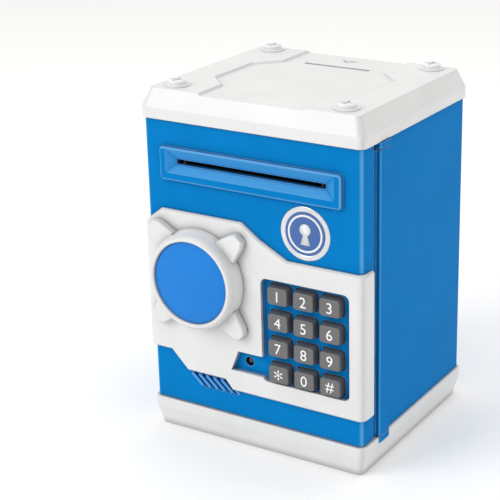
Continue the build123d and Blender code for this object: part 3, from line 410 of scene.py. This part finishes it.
def revolved(profile, centre, steps=96):
    """Builder of a ring about the Y axis from (radius, y) points, closed at both ends."""
    def build(shape):
        rings = []
        for radius, y in profile:
            ring = []
            for step in range(steps):
                turn = 2 * math.pi * step / steps
                offset = Vector((radius * math.cos(turn), 0, radius * math.sin(turn)))
                ring.append(shape.verts.new(Vector((centre.x, y, centre.z)) + offset))
            rings.append(ring)
        for low, high in zip(rings, rings[1:]):
            for step in range(steps):
                after = (step + 1) % steps
                shape.faces.new((low[step], low[after], high[after], high[step]))
        shape.faces.new(rings[0])
        shape.faces.new(list(reversed(rings[-1])))
    return build


def outlined(points, centre, front, back):
    """Builder of a flat shape facing the front, from (x, z) points about a centre."""
    def build(shape):
        near = [shape.verts.new((centre.x + x, front, centre.z + z)) for x, z in points]
        far = [shape.verts.new((centre.x + x, back, centre.z + z)) for x, z in points]
        shape.faces.new(near)
        shape.faces.new(list(reversed(far)))
        for index in range(len(points)):
            after = (index + 1) % len(points)
            shape.faces.new((near[index], far[index], far[after], near[after]))
    return build


def arc(radius, start, end, steps, centre=(0.0, 0.0)):
    """Points on a circular arc, angles in degrees."""
    points = []
    for step in range(steps + 1):
        turn = math.radians(start + (end - start) * step / steps)
        points.append((centre[0] + radius * math.cos(turn), centre[1] + radius * math.sin(turn)))
    return points


def legends():
    """Numeral or sign on each key, printed just proud of its face."""
    ink = moulded("legend_ink", (0.86, 0.86, 0.86), 0.45, coat=0.0, edge=0.03 * MM)
    for name in KEY_NAMES:
        low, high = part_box(f"key_{name}")
        text = bpy.data.curves.new(f"legend_{name}", "FONT")
        text.body = KEY_LEGENDS.get(name, name)
        text.size = LEGEND_SIZE * LEGEND_SCALE.get(name, 1.0)
        text.extrude = LEGEND_DEPTH / 2
        text.align_x = "CENTER"
        made = bpy.data.objects.new(f"legend_{name}", text)
        bpy.context.scene.collection.objects.link(made)
        made.rotation_euler = (math.radians(90), 0, 0)
        bpy.context.view_layer.update()
        corners = [Vector(corner) for corner in made.bound_box]
        middle = sum(corners, Vector()) / 8
        face = (low + high) / 2
        made.location = (face.x - middle.x, low.y - LEGEND_DEPTH * 0.2, face.z - middle.y)
        text.materials.append(ink)
        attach(made, f"key_{name}")


def emblem():
    """Round badge in place of the printed label: a silver rim, a blue field and a keyhole."""
    low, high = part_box("emblem_badge")
    centre = (low + high) / 2
    radius = (high.x - low.x) / 2
    skin = high.y - 0.02 * MM
    silver = metal("badge_foil", (0.70, 0.72, 0.75), 0.22, (1, 1, 1))
    field = moulded("badge_field", (0.010, 0.090, 0.330), 0.25, coat=0.6, edge=0.05 * MM)
    pale = moulded("badge_white", (0.78, 0.80, 0.83), 0.3, coat=0.5, edge=0.05 * MM)
    rim = [
        (radius * 0.80, skin),
        (radius * 0.80, low.y + 0.12 * MM),
        (radius * 0.84, low.y + 0.02 * MM),
        (radius * 0.92, low.y),
        (radius * 0.97, low.y + 0.06 * MM),
        (radius, low.y + 0.2 * MM),
        (radius, skin),
    ]
    badge = piece("badge_rim", "door", silver, revolved(rim, centre))
    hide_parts("emblem_badge")
    plate = [
        (radius * 0.81, skin),
        (radius * 0.81, low.y + 0.16 * MM),
        (radius * 0.79, low.y + 0.14 * MM),
    ]
    piece("badge_field", "door", field, revolved(plate, centre))
    front = low.y + 0.06 * MM
    back = low.y + 0.2 * MM
    ring = arc(radius * 0.70, 0, 360, RING_STEPS)[:-1]
    hollow = arc(radius * 0.62, 0, 360, RING_STEPS)[:-1]
    piece("badge_ring", "door", pale, banded(ring, hollow, centre, front, back))
    bow = arc(radius * 0.22, 245, -65, 28, (0.0, radius * 0.14))
    skirt = [(radius * 0.19, -radius * 0.42), (-radius * 0.19, -radius * 0.42)]
    piece("badge_keyhole", "door", pale, outlined(bow + skirt, centre, front, back))


def banded(outer, inner, centre, front, back):
    """Builder of a flat band between two loops with the same number of points."""
    def build(shape):
        loops = []
        for points, y in ((outer, front), (inner, front), (inner, back), (outer, back)):
            loops.append([shape.verts.new((centre.x + x, y, centre.z + z)) for x, z in points])
        for first, second in zip(loops, loops[1:] + loops[:1]):
            for index in range(len(outer)):
                after = (index + 1) % len(outer)
                shape.faces.new((first[index], first[after], second[after], second[index]))
    return build


def grille_ribs():
    """Rounded ribs between the slanted slots of the loudspeaker grille."""
    # Painted highlight: the ribs take a paler copy of the door's blue.
    pale = moulded("grille_rib", RIB_HIGHLIGHT_BLUE, 0.28, edge=0.2 * MM)
    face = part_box("emblem_badge")[1].y
    for index in range(GRILLE_RIBS):
        along = (index - (GRILLE_RIBS - 1) / 2) * GRILLE_PITCH
        centre = Vector((GRILLE_CENTRE.x + along, face, GRILLE_CENTRE.z))
        half = RIB_LENGTH / 2 - RIB_RADIUS
        outline = arc(RIB_RADIUS, -90, 90, 10, (half, 0.0))
        outline += arc(RIB_RADIUS, 90, 270, 10, (-half, 0.0))
        rib = crowned(outline, centre, RIB_HEIGHT)
        piece(f"grille_rib_{index + 1}", "door", pale, rib)


def crowned(outline, centre, height):
    """Builder of a low rounded rib that stands on the front face, tilted like the slots."""
    def build(shape):
        loops = []
        for scale, lift in ((1.0, -0.1), (0.97, 0.45), (0.80, 0.85), (0.45, 1.0)):
            loop = []
            for x, z in outline:
                across = z * scale
                along = math.copysign(abs(x) - RIB_RADIUS * (1 - scale), x)
                turned = Matrix.Rotation(RIB_TILT, 2) @ Vector((along, across))
                offset = Vector((turned.x, -height * lift, turned.y))
                loop.append(shape.verts.new(centre + offset))
            loops.append(loop)
        for low, high in zip(loops, loops[1:]):
            for index in range(len(outline)):
                after = (index + 1) % len(outline)
                shape.faces.new((low[index], low[after], high[after], high[index]))
        shape.faces.new(loops[-1])
        shape.faces.new(list(reversed(loops[0])))
    return build


# ---------------------------------------------------------------- stage
def camera():
    """Camera at the viewing angle of the product picture."""
    azimuth = math.radians(CAMERA_AZIMUTH)
    elevation = math.radians(CAMERA_ELEVATION)
    roll = math.radians(CAMERA_ROLL)
    level = math.cos(elevation)
    back = Vector((math.sin(azimuth) * level, -math.cos(azimuth) * level, math.sin(elevation)))
    right = Vector((0, 0, 1)).cross(back).normalized()
    up = back.cross(right)
    tilted_right = right * math.cos(roll) + up * math.sin(roll)
    tilted_up = up * math.cos(roll) - right * math.sin(roll)
    data = bpy.data.cameras.new("camera")
    data.lens = CAMERA_LENS
    data.sensor_width = SENSOR_WIDTH
    data.shift_x, data.shift_y = CAMERA_SHIFT
    data.clip_start = 0.02
    made = bpy.data.objects.new("camera", data)
    turn = Matrix((tilted_right, tilted_up, back)).transposed().to_4x4()
    made.matrix_world = Matrix.Translation(CAMERA_PLACE) @ turn
    bpy.context.scene.collection.objects.link(made)
    bpy.context.scene.camera = made


def softbox(name, place, size, power):
    """Large soft white light aimed at the model."""
    data = bpy.data.lights.new(name, "AREA")
    data.shape = "RECTANGLE"
    data.size, data.size_y = size
    data.energy = power
    made = bpy.data.objects.new(name, data)
    aim = LIGHT_TARGET - Vector(place)
    made.rotation_euler = aim.to_track_quat("-Z", "Y").to_euler()
    made.location = place
    bpy.context.scene.collection.objects.link(made)


def studio():
    """Pale floor, even surrounding light and three softboxes."""
    mesh = bpy.data.meshes.new("floor")
    corners = [(-1, -1), (1, -1), (1, 1), (-1, 1)]
    verts = [(x * FLOOR_HALF, y * FLOOR_HALF, 0) for x, y in corners]
    mesh.from_pydata(verts, [], [(0, 1, 2, 3)])
    mesh.materials.append(floor_material())
    floor = bpy.data.objects.new("floor", mesh)
    bpy.context.scene.collection.objects.link(floor)
    world = bpy.data.worlds.new("studio")
    world.use_nodes = True
    sky = world.node_tree.nodes["Background"]
    sky.inputs["Color"].default_value = SKY_COLOUR
    sky.inputs["Strength"].default_value = SKY_STRENGTH
    bpy.context.scene.world = world
    for name, (place, size, power) in SOFTBOXES.items():
        softbox(name, place, size, power)
    bpy.context.scene.view_settings.view_transform = "Standard"


dress(finishes())
legends()
emblem()
grille_ribs()
camera()
studio()
